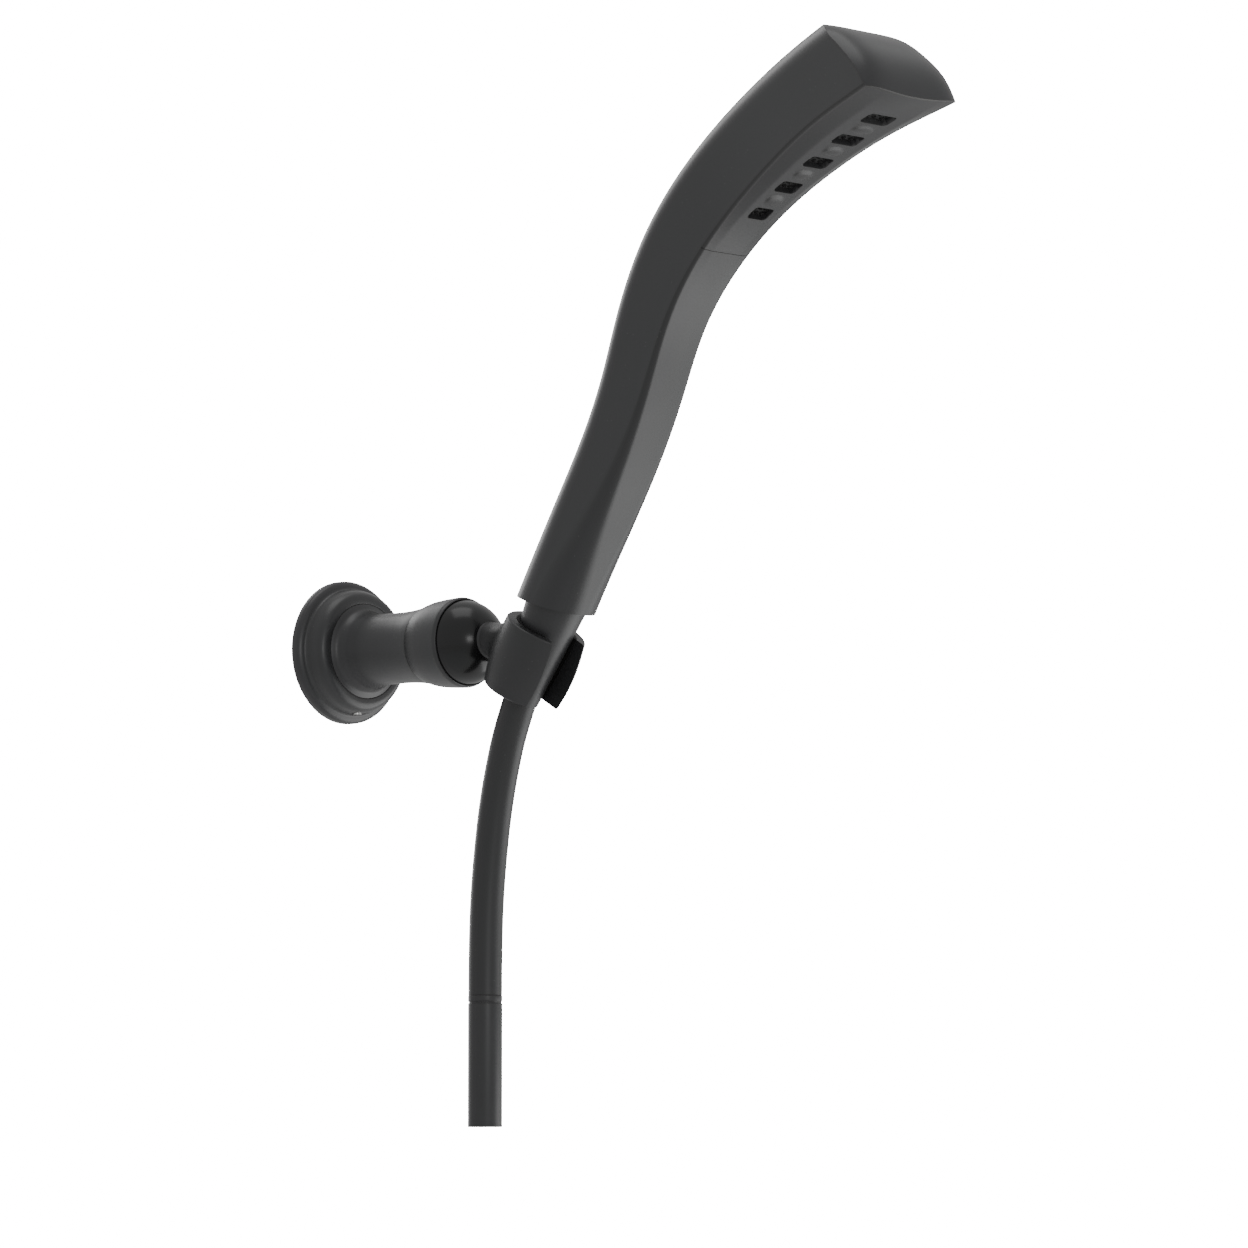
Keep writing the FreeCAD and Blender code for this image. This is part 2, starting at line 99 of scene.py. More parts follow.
def gridQuads(rows, columns, wrapRows, wrapColumns):
    # Quads between neighbours on a grid whose points are numbered row by row.
    i = np.arange(rows if wrapRows else rows - 1)[:, None]
    j = np.arange(columns if wrapColumns else columns - 1)[None, :]
    a = i * columns + j
    b = i * columns + (j + 1) % columns
    c = ((i + 1) % rows) * columns + (j + 1) % columns
    d = ((i + 1) % rows) * columns + j
    return np.stack([a, b, c, d], -1).reshape(-1, 4)


def finishMesh(piece, sharp=32):
    # Merges doubled points, turns every face outwards and keeps corners over sharp degrees crisp.
    merge = 0.00001
    work = bmesh.new()
    work.from_mesh(piece.data)
    bmesh.ops.remove_doubles(work, verts=work.verts, dist=merge)
    bmesh.ops.dissolve_degenerate(work, dist=merge * 0.5, edges=work.edges)
    bmesh.ops.recalc_face_normals(work, faces=work.faces)
    if work.calc_volume(signed=True) < 0:
        bmesh.ops.reverse_faces(work, faces=work.faces)
    work.to_mesh(piece.data)
    work.free()
    piece.data.polygons.foreach_set("use_smooth", np.ones(len(piece.data.polygons), bool))
    piece.data.set_sharp_from_angle(angle=math.radians(sharp))
    piece.data.update()
    return piece


def roundedPath(points, reach, steps=5):
    # A closed path of straight lines. Each corner becomes a quadratic curve that starts and ends at
    # its reach along both lines, or at most a share of the shorter line.
    points = np.asarray(points, float)
    share = 0.45
    out = []
    for k, here in enumerate(points):
        a, b = points[k - 1] - here, points[(k + 1) % len(points)] - here
        la, lb = np.linalg.norm(a), np.linalg.norm(b)
        cut = min(reach[k], la * share, lb * share)
        start, end = here + a / la * cut, here + b / lb * cut
        t = np.linspace(0, 1, steps)[:, None]
        out.append((1 - t) ** 2 * start + 2 * t * (1 - t) * here + t ** 2 * end)
    return np.concatenate(out)


def cornerWear(path):
    # How sharply a closed path turns at each point: 1 from fullTurn radians on.
    fullTurn = 0.35
    a = path - np.roll(path, 1, 0)
    b = np.roll(path, -1, 0) - path
    turn = np.abs(np.arctan2(a[:, 0] * b[:, 1] - a[:, 1] * b[:, 0], (a * b).sum(1)))
    return np.clip(turn / fullTurn, 0, 1)


leanAngle = math.radians(30)
foot = np.array([128.7, 0.0, 14.5])          # where the handset's lower axis passes its foot
axisUp = np.array([math.sin(leanAngle), 0, math.cos(leanAngle)])
axisFront = np.array([math.cos(leanAngle), 0, -math.sin(leanAngle)])
sideways = np.array([0.0, 1.0, 0.0])


def onHandsetAxis(along, front, side):
    # From distances along the leaning axis, out to the front and to the side, to the shared frame.
    return (foot + np.asarray(along)[..., None] * axisUp + np.asarray(front)[..., None] * axisFront
            + np.asarray(side)[..., None] * sideways)


def turnedPiece(name, profile, axis, segments=144, centre=(0, 0)):
    # A closed profile of (along, radius) turned a full circle about X, Z or the handset's axis.
    angle = np.linspace(0, 2 * np.pi, segments, endpoint=False)[:, None]
    along = np.broadcast_to(profile[:, 0], (segments, len(profile)))
    r = profile[:, 1][None, :]
    if axis == "x":
        points = np.stack([along, r * np.cos(angle), r * np.sin(angle)], -1)
    elif axis == "z":
        points = np.stack([centre[0] + r * np.cos(angle), centre[1] + r * np.sin(angle), along], -1)
    else:
        points = onHandsetAxis(along, r * np.cos(angle), r * np.sin(angle))
    quads = gridQuads(segments, len(profile), True, True)
    worn = np.broadcast_to(cornerWear(profile), (segments, len(profile)))
    return finishMesh(meshObject(name, points.reshape(-1, 3), quads, edge=worn))


skinSet = dict(cloudScale=38, wearScale=260, speckScale=420, speckSize=0.10, driftScale=55, driftAbove=0.60,
               lighter=1.18, rubbed=2.2, roughSpread=0.12, dustRough=0.3, dustColour=(0.32, 0.32, 0.31, 1),
               bumpDepth=0.00004)


def nodeGroup(name, inputs, outputs, build):
    # A shader group with named inputs and outputs, filled in by build(nodes, links, inNode, outNode).
    group = bpy.data.node_groups.new(name, "ShaderNodeTree")
    for label, value in inputs:
        socket = group.interface.new_socket(label, in_out="INPUT", socket_type="NodeSocketFloat")
        socket.default_value = value
    for label in outputs:
        group.interface.new_socket(label, in_out="OUTPUT", socket_type="NodeSocketFloat")
    inNode = group.nodes.new("NodeGroupInput")
    outNode = group.nodes.new("NodeGroupOutput")
    build(group.nodes, group.links, inNode, outNode)
    return group


def mathNode(nodes, links, kind, a, b=None, c=None):
    node = nodes.new("ShaderNodeMath")
    node.operation = kind
    for slot, value in enumerate((a, b, c)):
        if value is None:
            continue
        if isinstance(value, (int, float)):
            node.inputs[slot].default_value = value
        else:
            links.new(value, node.inputs[slot])
    return node.outputs[0]


def buildGrain(nodes, links, inNode, outNode):
    # Fine orange-peel of a sprayed or moulded skin, and a slower cloudiness over it.
    coordinates = nodes.new("ShaderNodeTexCoord").outputs["Object"]
    fine = nodes.new("ShaderNodeTexNoise")
    fine.inputs["Detail"].default_value = 4
    links.new(coordinates, fine.inputs["Vector"])
    links.new(inNode.outputs["Grain scale"], fine.inputs["Scale"])
    cloud = nodes.new("ShaderNodeTexNoise")
    cloud.inputs["Scale"].default_value = skinSet["cloudScale"]
    cloud.inputs["Detail"].default_value = 3
    links.new(coordinates, cloud.inputs["Vector"])
    links.new(fine.outputs["Fac"], outNode.inputs["Height"])
    links.new(cloud.outputs["Fac"], outNode.inputs["Cloud"])


def buildWear(nodes, links, inNode, outNode):
    # Corners rubbed a little brighter, broken up by noise, from each piece's own worn attribute.
    worn = nodes.new("ShaderNodeAttribute")
    worn.attribute_name = "worn"
    broken = nodes.new("ShaderNodeTexNoise")
    broken.inputs["Scale"].default_value = skinSet["wearScale"]
    broken.inputs["Detail"].default_value = 5
    links.new(nodes.new("ShaderNodeTexCoord").outputs["Object"], broken.inputs["Vector"])
    stronger = mathNode(nodes, links, "MULTIPLY", broken.outputs["Fac"], 1.7)
    patch = mathNode(nodes, links, "SMOOTH_MIN", stronger, 1.0, 0.2)
    mask = mathNode(nodes, links, "MULTIPLY", worn.outputs["Fac"], patch)
    scaled = mathNode(nodes, links, "MULTIPLY", mask, inNode.outputs["Amount"])
    links.new(scaled, outNode.inputs["Mask"])


def buildDust(nodes, links, inNode, outNode):
    # Sparse dried water marks and dust: soft specks where a cell pattern and a noise agree.
    coordinates = nodes.new("ShaderNodeTexCoord").outputs["Object"]
    specks = nodes.new("ShaderNodeTexVoronoi")
    specks.inputs["Scale"].default_value = skinSet["speckScale"]
    links.new(coordinates, specks.inputs["Vector"])
    near = mathNode(nodes, links, "LESS_THAN", specks.outputs["Distance"], skinSet["speckSize"])
    drift = nodes.new("ShaderNodeTexNoise")
    drift.inputs["Scale"].default_value = skinSet["driftScale"]
    links.new(coordinates, drift.inputs["Vector"])
    where = mathNode(nodes, links, "GREATER_THAN", drift.outputs["Fac"], skinSet["driftAbove"])
    both = mathNode(nodes, links, "MULTIPLY", near, where)
    scaled = mathNode(nodes, links, "MULTIPLY", both, inNode.outputs["Amount"])
    links.new(scaled, outNode.inputs["Mask"])


grainGroup = nodeGroup("skinGrain", [("Grain scale", 900.0)], ["Height", "Cloud"], buildGrain)
wearGroup = nodeGroup("cornerWear", [("Amount", 0.5)], ["Mask"], buildWear)
dustGroup = nodeGroup("waterMarks", [("Amount", 0.3)], ["Mask"], buildDust)


def makeFinish(name, look):
    # One Principled shader with its own colour, gloss, grain, corner wear and water marks.
    finish = bpy.data.materials.new(name)
    finish.use_nodes = True
    nodes, links = finish.node_tree.nodes, finish.node_tree.links
    shader = nodes["Principled BSDF"]
    shader.inputs["Metallic"].default_value = look.get("metallic", 0.0)
    shader.inputs["Specular IOR Level"].default_value = look.get("specular", 0.5)
    shader.inputs["Coat Weight"].default_value = look.get("coat", 0.0)
    shader.inputs["Coat Roughness"].default_value = look.get("coatRough", 0.2)

    def group(tree, label, value):
        node = nodes.new("ShaderNodeGroup")
        node.node_tree = tree
        node.inputs[label].default_value = value
        return node

    grain = group(grainGroup, "Grain scale", look.get("grainScale", 900.0))
    wear = group(wearGroup, "Amount", look["wear"])
    dust = group(dustGroup, "Amount", look["dust"])

    tint = nodes.new("ShaderNodeMix")
    tint.data_type = "RGBA"
    colour = look["colour"]
    tint.inputs[6].default_value = (*colour, 1)
    tint.inputs[7].default_value = (*[c * skinSet["lighter"] for c in colour], 1)
    links.new(grain.outputs["Cloud"], tint.inputs[0])
    rubbed = nodes.new("ShaderNodeMix")
    rubbed.data_type = "RGBA"
    rubbed.inputs[7].default_value = (*[min(1, c * skinSet["rubbed"] + 0.01) for c in colour], 1)
    links.new(wear.outputs["Mask"], rubbed.inputs[0])
    links.new(tint.outputs[2], rubbed.inputs[6])
    marked = nodes.new("ShaderNodeMix")
    marked.data_type = "RGBA"
    marked.inputs[7].default_value = skinSet["dustColour"]
    links.new(dust.outputs["Mask"], marked.inputs[0])
    links.new(rubbed.outputs[2], marked.inputs[6])
    links.new(marked.outputs[2], shader.inputs["Base Color"])

    spread = skinSet["roughSpread"]
    least = look["rough"] - spread / 2
    rough = mathNode(nodes, links, "MULTIPLY_ADD", grain.outputs["Cloud"], spread, least)
    dusty = mathNode(nodes, links, "MULTIPLY_ADD", dust.outputs["Mask"], skinSet["dustRough"], rough)
    links.new(dusty, shader.inputs["Roughness"])
    bump = nodes.new("ShaderNodeBump")
    bump.inputs["Strength"].default_value = look.get("bump", 0.12)
    bump.inputs["Distance"].default_value = skinSet["bumpDepth"]
    links.new(grain.outputs["Height"], bump.inputs["Height"])
    links.new(bump.outputs["Normal"], shader.inputs["Normal"])
    return finish


looks = {
    "satin_black": dict(colour=[0.018, 0.018, 0.0195], rough=0.36, coat=0.25, coatRough=0.3,
                        grainScale=1500.0, bump=0.10, wear=0.35, dust=0.10),
    "satin_black_plastic": dict(colour=[0.020, 0.020, 0.0212], rough=0.40, coat=0.1, coatRough=0.35,
                                grainScale=1900.0, bump=0.14, wear=0.3, dust=0.10),
    "dark_socket": dict(colour=[0.006, 0.006, 0.0065], rough=0.20, specular=0.45, grainScale=1700.0,
                        bump=0.08, wear=0.2, dust=0.08),
    "nozzle_rubber": dict(colour=[0.006, 0.006, 0.006], rough=0.62, specular=0.35, grainScale=2600.0,
                          bump=0.25, wear=0.15, dust=0.12),
    "hose_skin": dict(colour=[0.019, 0.019, 0.020], rough=0.42, coat=0.1, coatRough=0.35,
                      grainScale=1300.0, bump=0.10, wear=0.0, dust=0.12),
    "brass": dict(colour=[0.58, 0.42, 0.18], rough=0.28, metallic=1.0, wear=0.3, dust=0.05, bump=0.05),
    "stainless": dict(colour=[0.52, 0.52, 0.51], rough=0.30, metallic=1.0, wear=0.3, dust=0.05, bump=0.06),
    "white_plastic": dict(colour=[0.72, 0.71, 0.68], rough=0.45, wear=0.1, dust=0.03),
    "grey_plastic": dict(colour=[0.16, 0.165, 0.17], rough=0.5, wear=0.2, dust=0.05),
    "seal_rubber": dict(colour=[0.010, 0.010, 0.010], rough=0.7, specular=0.3, bump=0.3, wear=0.1,
                        dust=0.1),
}
finishes = {name: makeFinish(name, look) for name, look in looks.items()}
slotOf = {row["node"]: row["material_slot"] for row in frame["record"]["subparts"]}
for name, node in frame["nodes"].items():
    node.data.materials.clear()
    node.data.materials.append(finishes[slotOf[name]])
print("finishes:", len(finishes))


def place(piece, body, slot, *nodes):
    # Gives a new piece its finish and its body, and hides the CAD nodes that it stands for.
    piece.data.materials.clear()
    piece.data.materials.append(finishes[slot])
    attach(piece, body)
    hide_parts(*nodes)
    return piece


cameraSet = dict(aim=(0.0854, 0.0823, 0.0123), distance=2.5424, azimuth=45.5, elevation=-5.2, lens=173.08)


def makeCamera():
    a, e = math.radians(cameraSet["azimuth"]), math.radians(cameraSet["elevation"])
    back = Vector((math.cos(e) * math.cos(a), -math.cos(e) * math.sin(a), math.sin(e)))
    camera = bpy.data.objects.new("camera", bpy.data.cameras.new("camera"))
    camera.data.lens = cameraSet["lens"]
    camera.data.sensor_width = 36
    camera.data.clip_end = 50
    camera.location = Vector(cameraSet["aim"]) + back * cameraSet["distance"]
    camera.rotation_euler = back.to_track_quat("Z", "Y").to_euler()
    bpy.context.scene.collection.objects.link(camera)
    bpy.context.scene.camera = camera


def areaLight(name, place, target, size, power):
    light = bpy.data.objects.new(name, bpy.data.lights.new(name, "AREA"))
    light.data.shape = "RECTANGLE"
    light.data.size, light.data.size_y = size
    light.data.energy = power
    light.location = place
    light.visible_camera = False
    light.rotation_euler = (Vector(place) - Vector(target)).to_track_quat("Z", "Y").to_euler()
    bpy.context.scene.collection.objects.link(light)


stageSet = dict(level=-1.25, half=6.0, floorColour=(0.86, 0.86, 0.86, 1), floorRough=0.8, glow=0.63,
                backdrop=20.0)


def makeStage():
    # A square floor and a plain world: one strength lights the object, a higher one is the backdrop.
    mesh = bpy.data.meshes.new("floor")
    h, level = stageSet["half"], stageSet["level"]
    mesh.from_pydata([(-h, -h, level), (h, -h, level), (h, h, level), (-h, h, level)], [], [(0, 1, 2, 3)])
    floor = bpy.data.objects.new("floor", mesh)
    bpy.context.scene.collection.objects.link(floor)
    pale = bpy.data.materials.new("paleFloor")
    pale.use_nodes = True
    shader = pale.node_tree.nodes["Principled BSDF"]
    shader.inputs["Base Color"].default_value = stageSet["floorColour"]
    shader.inputs["Roughness"].default_value = stageSet["floorRough"]
    mesh.materials.append(pale)

    world = bpy.data.worlds.new("studio")
    bpy.context.scene.world = world
    world.use_nodes = True
    nodes, links = world.node_tree.nodes, world.node_tree.links
    background = nodes["Background"]
    path = nodes.new("ShaderNodeLightPath")
    mix = nodes.new("ShaderNodeMix")
    mix.data_type = "RGBA"
    mix.inputs[6].default_value = (*[stageSet["glow"]] * 3, 1)
    mix.inputs[7].default_value = (*[stageSet["backdrop"]] * 3, 1)
    links.new(path.outputs["Is Camera Ray"], mix.inputs[0])
    links.new(mix.outputs[2], background.inputs["Color"])


makeCamera()
makeStage()
lightSet = dict(
    keyBelow=dict(place=(0.85, 1.10, -0.72), size=(1.3, 1.3), power=11),
    backWall=dict(place=(-1.85, 0.30, 0.55), size=(1.0, 1.9), power=10),
    topSoft=dict(place=(0.10, -0.10, 1.60), size=(1.0, 1.0), power=4),
    fill=dict(place=(1.9, -0.9, 0.2), size=(0.5, 0.5), power=3))
for name, row in lightSet.items():
    areaLight(name, row["place"], (0.19, 0, 0.05), row["size"], row["power"])
print("camera, light and floor set")


hoseSet = dict(route=[(0.1202, -0.0002), (0.1035, -0.0291), (0.0932, -0.062), (0.0882, -0.094),
                      (0.0862, -0.122), (0.0862, -0.1465)], radius=0.007, length=0.1526)


def makeHose():
    # Smooth hose: one NURBS line through the route's control points, given a round section.
    curve = bpy.data.curves.new("hoseTube", "CURVE")
    curve.dimensions = "3D"
    line = curve.splines.new("NURBS")
    line.points.add(len(hoseSet["route"]) - 1)
    for point, (x, z) in zip(line.points, hoseSet["route"]):
        point.co = (x, 0, z, 1)
    line.order_u = 3
    line.use_endpoint_u = True
    line.resolution_u = 16
    curve.bevel_depth = hoseSet["radius"]
    curve.bevel_resolution = 10
    curve.use_fill_caps = True
    hose = bpy.data.objects.new("hoseTube", curve)
    bpy.context.scene.collection.objects.link(hose)
    return place(hose, "hose", "hose_skin", "hose")


sleeveSet = dict(bore=5.0, topBore=4.7, raised=0.25, corners=[0.3, 0.5, 0.1, 0.1, 0.1, 0.1, 0.5, 0.2])


def makeSleeve():
    # Straight open sleeve: a turned tube with a fine groove under its top rim.
    low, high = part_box("end_sleeve")
    bottom, top = low.z / mm, high.z / mm + sleeveSet["raised"]
    centre = ((low.x + high.x) / 2 / mm, 0)
    r = (high.x - low.x) / 2 / mm
    profile = [(bottom, sleeveSet["bore"]), (bottom, r), (top - 3.4, r), (top - 3.2, r - 0.35),
               (top - 2.6, r - 0.35), (top - 2.4, r), (top, r), (top, sleeveSet["topBore"])]
    piece = turnedPiece("endSleeve", roundedPath(profile, sleeveSet["corners"]), "z", 96, centre)
    return place(piece, "end_sleeve", "satin_black_plastic", "end_sleeve")


hose = makeHose()
sleeve = makeSleeve()
print("hose and sleeve made")


bodySet = dict(
    spine=[(123.7, 5.84), (128.7, 14.5), (148.4, 48.6), (163.4, 74.6), (174.6, 98.2), (185.1, 124.4),
           (199.9, 148.8), (221.6, 170.8), (255.9, 193.2), (288.2, 207.6), (322.1, 219.0), (331.5, 222.4)],
    at=[0, 12, 42, 74, 106, 138, 166, 190, 214, 238, 262, 286, 304, 314],
    width=[31.2, 31.0, 28.0, 25.2, 23.9, 24.4, 26.2, 28.2, 31.6, 37.0, 43.4, 50.0, 55.0, 57.0],
    depth=[32.2, 32.0, 31.4, 31.2, 31.8, 34.0, 36.8, 38.2, 38.6, 38.4, 38.0, 38.3, 38.8, 39.0],
    frontCorner=[14.6, 14.2, 9.0, 4.6, 2.6, 2.0, 1.6, 1.4, 1.4, 1.4, 1.4, 1.4, 1.4, 1.4],
    backCorner=[14.6, 14.4, 12.5, 11.0, 10.0, 10.0, 10.5, 11.0, 11.5, 12.0, 12.0, 12.0, 12.0, 12.0],
    crown=[0, 0, 0, 0, 0, 0, 0.2, 0.8, 1.8, 2.6, 2.8, 2.4, 2.4, 2.4],
    footAt=10.0, footDrop=2.8, footTilt=11.3, seam=178.0,
    endAt=289.0, endTilt=33.7, dome=7.7, domeHalf=(28.5, 24.0), domePower=(6.0, 3.2, 2.4), corner=4.6,
    cornerPower=(7, 3), lip=2.0, flatShare=0.62, flatSoft=0.35, archAt=282, archRun=20,
    wall=2.2)

knots = np.array(bodySet["spine"])
chord = np.concatenate([[0], np.cumsum(np.linalg.norm(np.diff(knots, axis=0), axis=1))])
chordX, chordZ = splineThrough(chord, knots[:, 0]), splineThrough(chord, knots[:, 1])
fineChord = np.linspace(0, chord[-1], 3000)
fineStep = np.hypot(np.diff(chordX(fineChord)), np.diff(chordZ(fineChord)))
fineLength = np.concatenate([[0], np.cumsum(fineStep)])
lengthToChord = splineThrough(fineLength[::100], fineChord[::100])


def spineX(s):
    return chordX(lengthToChord(s))


def spineZ(s):
    return chordZ(lengthToChord(s))


widthAt = splineThrough(bodySet["at"], bodySet["width"])
depthAt = splineThrough(bodySet["at"], bodySet["depth"])
frontCornerAt = splineThrough(bodySet["at"], bodySet["frontCorner"])
backCornerAt = splineThrough(bodySet["at"], bodySet["backCorner"])
crownAt = splineThrough(bodySet["at"], bodySet["crown"])


def bodyPoint(s, y, v):
    # Point at distance s along the middle line, y to the side and v backwards from it.
    step = 0.05
    x, z = spineX(s), spineZ(s)
    dx, dz = spineX(s + step) - spineX(s - step), spineZ(s + step) - spineZ(s - step)
    size = np.hypot(dx, dz)
    return np.stack([x - dz / size * v, np.broadcast_to(y, np.shape(x)), z + dx / size * v], -1)


def bendAtEnd(t, power):
    # 1 - |t| to a power inside -1..1, and its straight continuation outside.
    t = np.abs(t)
    return np.where(t < 1, 1 - t ** power, -power * (t - 1))


def planeOf(s, turn):
    # A point on the middle line, and the normal and the forward direction of a plane across it,
    # tilted back by turn degrees.
    origin = bodyPoint(np.array(float(s)), 0.0, 0.0)
    ahead = bodyPoint(np.array(s + 1.0), 0.0, 0.0) - bodyPoint(np.array(s - 1.0), 0.0, 0.0)
    lean = math.atan2(ahead[0], ahead[2]) - math.radians(turn)
    normal = np.array([math.sin(lean), 0, math.cos(lean)])
    return origin, normal, np.array([math.cos(lean), 0, -math.sin(lean)])


endOrigin, endNormal, endForward = planeOf(bodySet["endAt"], bodySet["endTilt"])
footOrigin = bodyPoint(np.array(bodySet["footAt"] - bodySet["footDrop"]), 0.0, 0.0)
footLean = leanAngle - math.radians(bodySet["footTilt"])
footNormal = np.array([math.sin(footLean), 0, math.cos(footLean)])


def domeAt(y, forward):
    # Height of the head's end above its sloping plane: the dome's height times one fall sideways and
    # one to the front or back, less a drop that grows towards the two front corners.
    sidewaysPower, frontPower, backPower = bodySet["domePower"]
    cornerSideways, cornerForward = bodySet["cornerPower"]
    across, along = np.abs(y / bodySet["domeHalf"][0]), forward / bodySet["domeHalf"][1]
    a = bendAtEnd(across, sidewaysPower)
    b = np.where(forward > 0, bendAtEnd(along, frontPower), bendAtEnd(along, backPower))
    corner = bodySet["corner"] * across ** cornerSideways * np.clip(along, 0, 1.1) ** cornerForward
    return bodySet["dome"] * np.where((a > 0) & (b > 0), a * b, np.minimum(a, b)) - corner


def pastEnd(points):
    # How far points stand past the domed end.
    off = points - endOrigin
    return off @ endNormal - domeAt(off[..., 1], off @ endForward)


def pastFoot(points):
    return (points - footOrigin) @ footNormal


def solveAlong(outline, s, past):
    # Slides every column along the body until it lies on the surface where past() is zero.
    for attempt in range(14):
        s = s - past(bodyPoint(s, *outline(s)))
    return s


def splitAngle(s):
    # Where the front plate ends on the front corner's arc: a lip behind the front, or most of a small arc.
    rf = frontCornerAt(s)
    return np.arccos(1 - np.minimum(0.8 * rf, bodySet["lip"]) / rf)


def halfColumns(counts):
    # Group number and 0..1 fraction of each column from the split round to the middle of the back.
    group = np.concatenate([np.full(c, g) for g, c in enumerate(counts)])
    part = np.concatenate([np.arange(c) / c for c in counts])
    return np.append(group, len(counts) - 1), np.append(part, 1.0)


def shellOutline(inset, counts=(5, 7, 14, 6)):
    # Returns f(s) -> (y, v): corner arc, flat side, back corner arc and back, and the same mirrored.
    group, part = halfColumns(counts)
    group = np.concatenate([group, group[-2::-1]])
    side = np.concatenate([np.full(len(part), -1.0), np.full(len(part) - 1, 1.0)])
    part = np.concatenate([part, part[-2::-1]])

    def outline(s):
        half = widthAt(s) / 2 - inset
        front, back = -depthAt(s) / 2 + inset, depthAt(s) / 2 - inset
        rf, rb = np.maximum(frontCornerAt(s) - inset, 0.4), np.maximum(backCornerAt(s) - inset, 0.4)
        low = splitAngle(s)
        turn = low + part * (np.pi / 2 - low)
        bend = part * np.pi / 2
        onPart = [group == 0, group == 1, group == 2]
        y = np.select(onPart, [half - rf + rf * np.sin(turn), half, half - rb + rb * np.cos(bend)],
                      (half - rb) * (1 - part))
        v = np.select(onPart, [front + rf - rf * np.cos(turn), front + rf + part * (back - rb - front - rf),
                               back - rb + rb * np.sin(bend)], back)
        return side * y, v
    return outline, len(part)


def frontOutline(counts, nozzleHalf=None):
    # Returns f(s) -> (y, v) across the front: corner arc, face, corner arc. Where nozzleHalf is given,
    # a share of the face's columns lie within it, so that they run along the nozzle pockets' ends.
    arc, face = counts
    share = 0.55
    g = np.linspace(-1, 1, face)
    t = np.arange(arc) / arc

    def outline(s):
        half, front = widthAt(s) / 2, -depthAt(s) / 2
        rf = frontCornerAt(s)
        turn = splitAngle(s[:, :1]) * (1 - t)
        rim = half - rf
        if nozzleHalf is None:
            y = g * rim[:, arc:arc + face]
        else:
            w = nozzleHalf(s[:, arc:arc + face])
            beyond = w + (np.abs(g) - share) / (1 - share) * (rim[:, arc:arc + face] - w)
            y = np.sign(g) * np.where(np.abs(g) < share, np.abs(g) / share * w, beyond)
        yArc = rim[:, :arc] + rf[:, :arc] * np.sin(turn)
        vArc = front[:, :arc] + rf[:, :arc] * (1 - np.cos(turn))
        v = frontDepth(s[:, arc:arc + face], y)
        return (np.concatenate([-yArc, y, yArc[:, ::-1]], 1), np.concatenate([vArc, v, vArc[:, ::-1]], 1))
    return outline, 2 * arc + face


def frontDepth(s, y):
    # The front face: a flat middle strip a crown's height proud, and flanks that fall to the corners.
    rim = widthAt(s) / 2 - frontCornerAt(s)
    flat = rim * bodySet["flatShare"]
    soft = bodySet["flatSoft"]
    past = np.logaddexp(0, (np.abs(y) - flat) / soft) * soft
    fall = np.clip(past / np.maximum(rim - flat, 0.5), 0, 1)
    arched = smoothStep((s - bodySet["archAt"]) / bodySet["archRun"])
    fall = fall + arched * (np.clip(np.abs(y) / rim, 0, 1) ** 2 - fall)
    return -depthAt(s) / 2 - crownAt(s) * (1 - fall)


def closedSlab(name, top, bottom, sharp=30):
    # Two grids of the same size joined round their four sides into one closed piece.
    rows, columns = top.shape[:2]
    n = rows * columns
    topQuads = gridQuads(rows, columns, False, False)
    loop = np.concatenate([np.arange(columns), np.arange(1, rows) * columns + columns - 1,
                           (rows - 1) * columns + np.arange(columns - 2, -1, -1),
                           np.arange(rows - 2, 0, -1) * columns])
    after = np.roll(loop, -1)
    sides = np.stack([loop, after, after + n, loop + n], 1)
    quads = np.concatenate([topQuads, topQuads[:, ::-1] + n, sides])
    points = np.concatenate([top.reshape(-1, 3), bottom.reshape(-1, 3)])
    return finishMesh(meshObject(name, points, quads), sharp=sharp)


def makeShell():
    # Side and back of the body: an outer and an inner surface joined at the foot, the end and the
    # front edges.
    outer, columns = shellOutline(0.0)
    inner, columns = shellOutline(bodySet["wall"])
    q = np.linspace(0, 1, 150)[:, None]
    sheets = []
    for outline in (outer, inner):
        low = solveAlong(outline, np.full((1, columns), bodySet["footAt"]), pastFoot)
        high = solveAlong(outline, np.full((1, columns), bodySet["endAt"]), pastEnd)
        s = low + q * (high - low)
        sheets.append(bodyPoint(s, *outline(s)))
    return closedSlab("handsetShell", sheets[0], sheets[1])


def makeCover():
    # Smooth front of the handle, from the foot to the seam.
    outline, columns = frontOutline((6, 41))
    low = solveAlong(outline, np.full((1, columns), bodySet["footAt"]), pastFoot)
    s = low + np.linspace(0, 1, 110)[:, None] * (bodySet["seam"] - 0.12 - low)
    y, v = outline(s)
    back = v + 0.2 + 2.2 * smoothStep((widthAt(s) / 2 - np.abs(y) - 2.4) / 1.2)
    return closedSlab("frontCover", bodyPoint(s, y, v), bodyPoint(s, y * 0.985, back))


spraySet = dict(
    pockets=[(204.5, 10.5), (224.0, 11.5), (243.5, 12.6), (262.5, 13.8), (281.0, 15.0)],
    long=7.6, corner=1.6, deep=2.6, wallRun=0.5, pillow=(5.6, 3.4, 0.75), fineHalf=4.3,
    nubRadius=1.05, nubHigh=0.95, holeRadius=0.5, holeDeep=0.8)
pocketAt = np.array([p[0] for p in spraySet["pockets"]])
pocketHalf = np.array([p[1] / 2 for p in spraySet["pockets"]])


def nozzleHalf(s):
    return np.interp(s, pocketAt, pocketHalf)


def inPocket(s, y, shrink=0.0):
    # Signed distance inside the nearest rounded rectangle, positive inside it.
    near = np.abs(s[..., None] - pocketAt).argmin(-1)
    r = spraySet["corner"]
    a = np.abs(y) - (pocketHalf[near] - shrink - r)
    b = np.abs(s - pocketAt[near]) - (spraySet["long"] / 2 - shrink - r)
    return r - np.hypot(np.maximum(a, 0), np.maximum(b, 0)) - np.minimum(np.maximum(a, b), 0)


